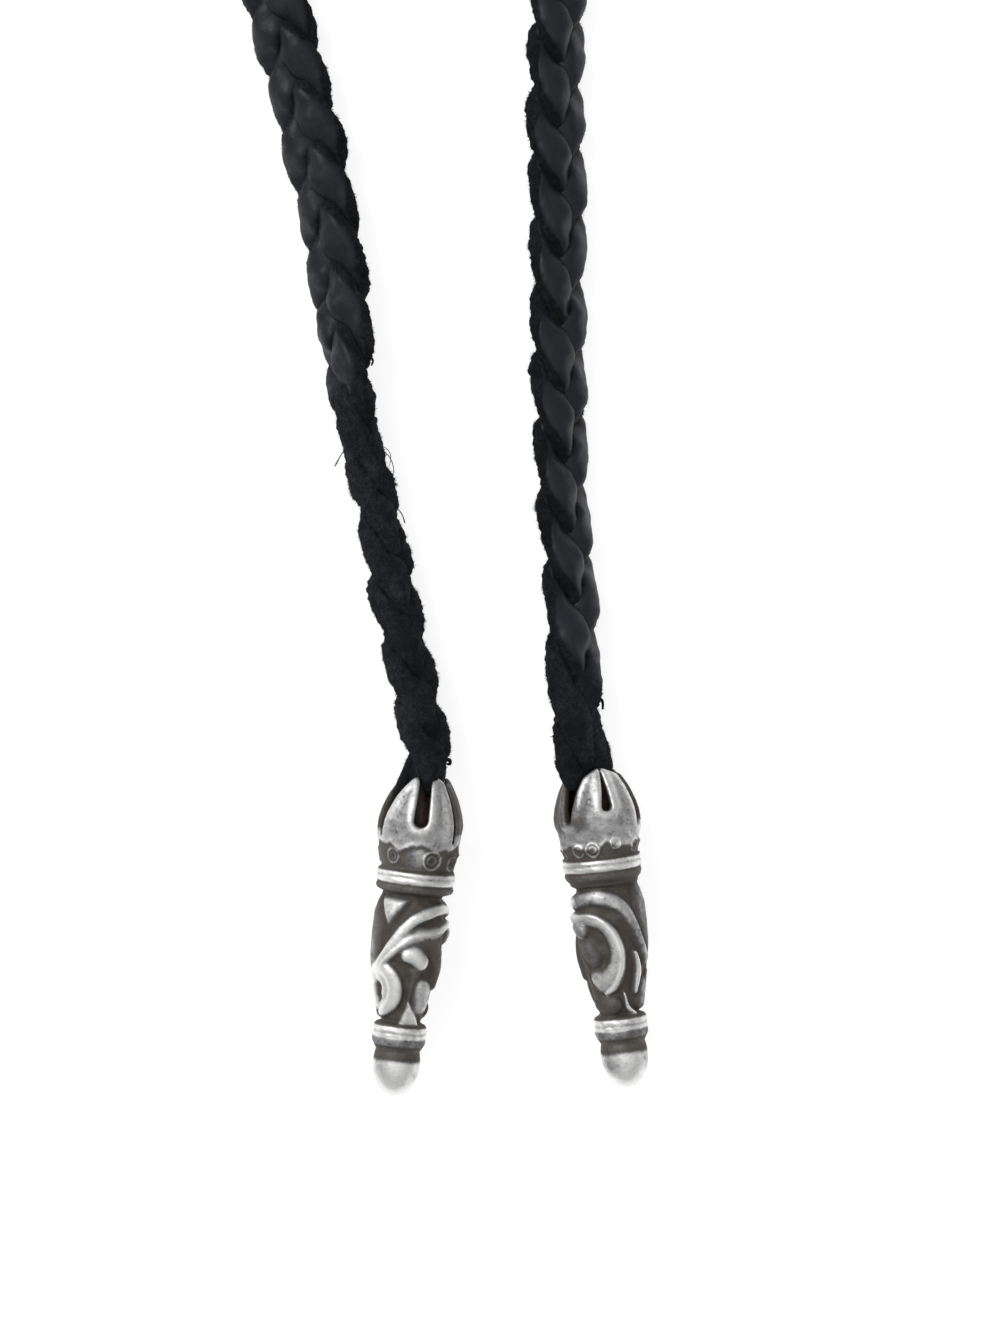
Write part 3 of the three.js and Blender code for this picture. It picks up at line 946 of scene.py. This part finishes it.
def punched(rows):
    """The punches, each a ring round a dot in a pressed dish."""
    marks = np.zeros((len(DOWN), len(ROUND)))
    for turned, distance, size in PUNCHES:
        away = np.hypot(np.radians(wrapped(ROUND - turned))[None, :] * COLLAR_RADIUS, rows - distance)
        outer = hump(away, size, 0.15)
        inner = 0.8 * hump(away, 0.5 * size, 0.12)
        marks = np.where(away < size + 0.4, np.maximum(outer, inner) - 0.35 * (away < size), marks)
    return marks


def tip_pattern(name):
    """Radius and polish over the whole outside of a tip."""
    turn = np.radians(ROUND)[None, :]
    rows = DOWN[:, None]
    own = rows + RING_RAISED[name] * band(rows, 8.5, 13.2, 1.5)
    outline = np.interp(own, *zip(*OUTLINE))

    # Petals, hollowed between their rims, down to a ragged foot.
    gap = slots_gap(turn, outline, rows, SLOTS[name])
    ragged = 0.13 * np.cos(13 * turn + 1) + 0.1 * np.cos(10 * turn + 4) + 0.035 * np.cos(29 * turn + 2)
    foot = PETAL_FOOT[name] + 0.3 * np.cos(6 * turn + math.pi) + ragged
    in_bell = 1 - smoothstep(rows, foot - 0.8, foot + 0.2)
    rim = hump(gap, 0.45, 0.55)
    relief = in_bell * (RIM_HEIGHT * rim - RIM_HEIGHT * smoothstep(gap, 0.7, 1.7))

    # Scrolls on their ground, and dents of handwork over all.
    in_body = smoothstep(rows, BODY_FROM, BODY_FROM + 0.5) * (1 - smoothstep(rows, BODY_TO - 0.4, BODY_TO))
    dents = 0.05 * np.cos(7 * turn + 2.1 * rows) * np.cos(5 * turn - 1.7 * rows)
    dents += 0.04 * np.cos(11 * turn - 3.3 * rows)
    sunk = GROUND * (1 - np.clip(carved, -0.9, 1.9))
    relief -= in_body * (sunk - dents * (1 - np.clip(carved, 0, 1)))
    relief += 0.7 * dents * (band(own, 10.5, 12.6) + band(rows, 27.4, 29.8))

    # Rings, each cut by a fine groove, and the punched collar.
    grooves = sum(hump(own, place, GROOVE_WIDTH) for place in GROOVES_AT)
    collar = smoothstep(rows, foot - 0.1, foot + 0.5) * (1 - smoothstep(own, 9.95, 10.35))
    punches = punched(rows) * smoothstep(rows, 6.8, 7.6) * (own < 10.4)
    relief += PUNCH_HEIGHT * punches - GROOVE_DEPTH * grooves - COLLAR_DEPTH * collar

    # The collar is rubbed bright where it stands highest, between two punches.
    rubbed = RUBBED_POLISH * hump(wrapped(ROUND - 2), 0, 12)[None, :] * (1 - smoothstep(own, 9.0, 10.6))
    # The petals' polish, with painted shade on those at the two sides of the bell.
    face = np.interp(ROUND % 360, *zip(*PETAL_POLISH_AND_SHADE[name]))[None, :]
    face = face + (FOOT_POLISH - face) * smoothstep(rows, 5.6, 7.4)
    polish = in_bell * (face + (RIM_POLISH * smoothstep(face, 0, 0.2) - face) * rim)
    polish += FOOT_EDGE_POLISH * hump(rows, foot - 0.25, 0.3)
    polish += collar * (COLLAR_POLISH + rubbed) + PUNCH_POLISH * punches
    polish += in_body * carved_shine - GROOVE_DULLNESS * grooves
    for start, end, soft, brightness in BANDS:
        polish += brightness * band(own, start, end, soft)
    polish += DOME_POLISH * smoothstep(rows, 30.9, 31.8)
    # Painted shade on the two sides of the dome, which takes away some of its polish.
    for turned, shade_depth in DOME_SIDE_PAINTED_SHADE[name]:
        polish -= shade_depth * hump(wrapped(ROUND - turned), 0, 30) * hump(rows, 32.4, 1.3)
    return outline + relief, np.clip(polish, 0, 1)


def looked_up(table, turn, distance):
    """Values of a flat table at places round and down the tip, blended between its cells."""
    column = np.degrees(turn) % 360 / 360 * len(ROUND) + len(ROUND) / 2
    row = np.clip(distance / ROW_STEP, 0, len(DOWN) - 1.001)
    c0, r0 = np.floor(column).astype(int), np.floor(row).astype(int)
    fc, fr = column - c0, row - r0
    c0, c1, r1 = c0 % len(ROUND), (c0 + 1) % len(ROUND), r0 + 1
    upper = table[r0, c0] * (1 - fc) + table[r0, c1] * fc
    lower = table[r1, c0] * (1 - fc) + table[r1, c1] * fc
    return upper * (1 - fr) + lower * fr


def smooth_max(a, b, blend):
    """The greater of two values, with the corner between them rounded."""
    overlap = np.clip(0.5 + 0.5 * (a - b) / blend, 0, 1)
    return b + (a - b) * overlap + blend * overlap * (1 - overlap)


def solid(points, radius_table, name):
    """Below zero in the metal and above zero outside it; points are x, distance from the mouth, z."""
    x, distance, z = points[..., 0], points[..., 1], points[..., 2]
    radius = np.hypot(x, z)
    turn = np.arctan2(x, z)
    shell = radius - looked_up(radius_table, turn, distance)
    shell = smooth_max(shell, distance - DOME_AT, DOME_EDGE)
    dome = np.hypot(radius / DOME_RADIUS, (distance - DOME_AT) / (TIP_LENGTH - DOME_AT)) - 1
    dome = np.maximum(DOME_RADIUS * dome, DOME_AT - 1.5 - distance)
    metal = np.minimum(shell, dome)
    hollow = np.maximum(radius - np.interp(distance, *zip(*HOLLOW)), distance - HOLLOW_FLOOR)
    metal = smooth_max(metal, -hollow, HOLLOW_EDGE)
    lip_down, lip_wave, lip_count, lip_turn = LIPS[name]
    lip = lip_down + lip_wave * np.cos(lip_count * (turn - math.radians(lip_turn)))
    metal = smooth_max(metal, lip - distance, MOUTH_EDGE)
    cut = np.maximum(slots_gap(turn, radius, distance, SLOTS[name]), SLOT_CLEARANCE - radius)
    return smooth_max(metal, -cut, SLOT_EDGE)


def cells_beside(where, others, shift_a, shift_b):
    """The grid cells on one side of each crossed grid line."""
    cell = where.copy()
    cell[:, others[0]] -= shift_a
    cell[:, others[1]] -= shift_b
    return tuple(cell.T)


def skinned(field, low, step):
    """Closed net of quads round the places where a grid of values is below zero."""
    cells = tuple(n - 1 for n in field.shape)
    total = np.zeros(cells + (3,))
    count = np.zeros(cells)
    crossings = []
    for axis in range(3):
        first = [slice(0, n) for n in field.shape]
        second = list(first)
        first[axis], second[axis] = slice(0, -1), slice(1, None)
        a, b = field[tuple(first)], field[tuple(second)]
        crossing = (a < 0) != (b < 0)
        where = np.argwhere(crossing)
        place = where.astype(float)
        place[:, axis] += a[crossing] / (a[crossing] - b[crossing])
        others = [k for k in range(3) if k != axis]
        for shift_a, shift_b in ((0, 0), (0, 1), (1, 0), (1, 1)):
            index = cells_beside(where, others, shift_a, shift_b)
            np.add.at(total, index, place)
            np.add.at(count, index, 1)
        starts_inside = (a < 0)[crossing]
        crossings.append((where, others, starts_inside if axis != 1 else ~starts_inside))
    used = count > 0
    number = np.full(cells, -1)
    number[used] = np.arange(used.sum())
    verts = low + step * total[used] / count[used][:, None]
    quads = []
    for where, others, flip in crossings:
        corners = [cells_beside(where, others, *shifts) for shifts in ((0, 0), (1, 0), (1, 1), (0, 1))]
        quad = np.stack([number[corner] for corner in corners], 1)
        quad[flip] = quad[flip][:, ::-1]
        quads.append(quad)
    return verts, np.vstack(quads)


def drawn_to_surface(points, surface_of, rounds=3, nudge=0.01):
    """Points moved along the steepest way until the value at each is zero."""
    for _ in range(rounds):
        value = surface_of(points)
        ways = [surface_of(points + nudge * axis) - surface_of(points - nudge * axis) for axis in np.eye(3)]
        slope = np.stack([way / (2 * nudge) for way in ways], -1)
        steepness = np.maximum((slope**2).sum(-1), 0.3)
        points = points - np.clip(value, -0.06, 0.06)[:, None] * slope / steepness[:, None]
    return points


# The metal goes from black through brown and grey to white as it is polished.
SILVER = [
    (0.0, (0.078, 0.067, 0.057, 1)), (0.2, (0.135, 0.124, 0.114, 1)), (0.36, (0.215, 0.216, 0.222, 1)),
    (0.6, (0.49, 0.487, 0.487, 1)), (1.0, (0.92, 0.915, 0.905, 1)),
]

silver_material, plan = surface("blackened_silver")
place = plan.node("ShaderNodeTexCoord", {}, {}, "Object")
polish = painted("polish")
cloud = noise(place, 420.0, 3.0)
stain = noise(place, 1100.0, 5.0, 0.65)
scratch = noise(place, 2600.0, 4.0)
mottle = (stain - 0.5) * (polish * 0.4 + 0.22) + (cloud - 0.5) * 0.42
bright = (polish - scratch.rise(0.52, 0.72) * 0.14 + mottle).rise(-0.14, 1.0)
colour = plan.node("ShaderNodeValToRGB", {"stops": SILVER}, {"Fac": bright})
finish_material(scratch * 0.5 + stain * 0.8, 0.8, 0.1 * MM, {
    "Base Color": colour, "Metallic": bright.rise(0.0, 0.4, 0.55, 1.0),
    "Roughness": bright.rise(0.0, 1.0, 0.68, 0.48),
})

# Step and box of the grid that a casting is worked out on.
NET = 0.14
NET_LOW = (-5.0, -0.5, -5.0)
NET_SIZE = (10.0, 36.2, 10.0)


def rotated(a, b, angle):
    """Two coordinates turned about the axis across them."""
    return a * math.cos(angle) - b * math.sin(angle), a * math.sin(angle) + b * math.cos(angle)


def cast_tip(name):
    """The casting of one tip, in its place."""
    radius_table, polish_table = tip_pattern(name)
    lines = [start + NET * np.arange(round(size / NET) + 1) for start, size in zip(NET_LOW, NET_SIZE)]
    field = solid(np.stack(np.meshgrid(*lines, indexing="ij"), -1), radius_table, name)
    verts, quads = skinned(field, np.array(NET_LOW), NET)
    verts = drawn_to_surface(verts, lambda points: solid(points, radius_table, name))
    x, distance, z = verts.T
    turn = np.arctan2(x, z)
    # The walls of the slots and the hollow stay black.
    depth_in = looked_up(radius_table, turn, distance) - np.hypot(x, z)
    polish = looked_up(polish_table, turn, distance)
    polish = polish * (1 - smoothstep(depth_in, 0.15, 0.6) * (distance < 10.5))
    z, x = rotated(z, x, math.radians(SPINS[name]))
    y, z = rotated(-distance, z, AXIS_SLOPE)
    x, y = rotated(x, y, math.radians(TIP_AXES[name]["heading"]))
    mouth = TIP_AXES[name]["mouth"]
    placed = np.stack([x + mouth[0], y + mouth[1], z - z.min()], 1) * MM
    mesh = bpy.data.meshes.new(name + "_casting")
    mesh.from_pydata(placed.tolist(), [], quads.tolist())
    mesh.shade_smooth()
    mesh.attributes.new("polish", "FLOAT", "POINT").data.foreach_set("value", polish)
    mesh.materials.append(silver_material)
    mesh.update()
    return put(name + "_casting", mesh)


for name in ("left_tip", "right_tip"):
    casting = cast_tip(name)
    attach(casting, "root")
    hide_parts(name)
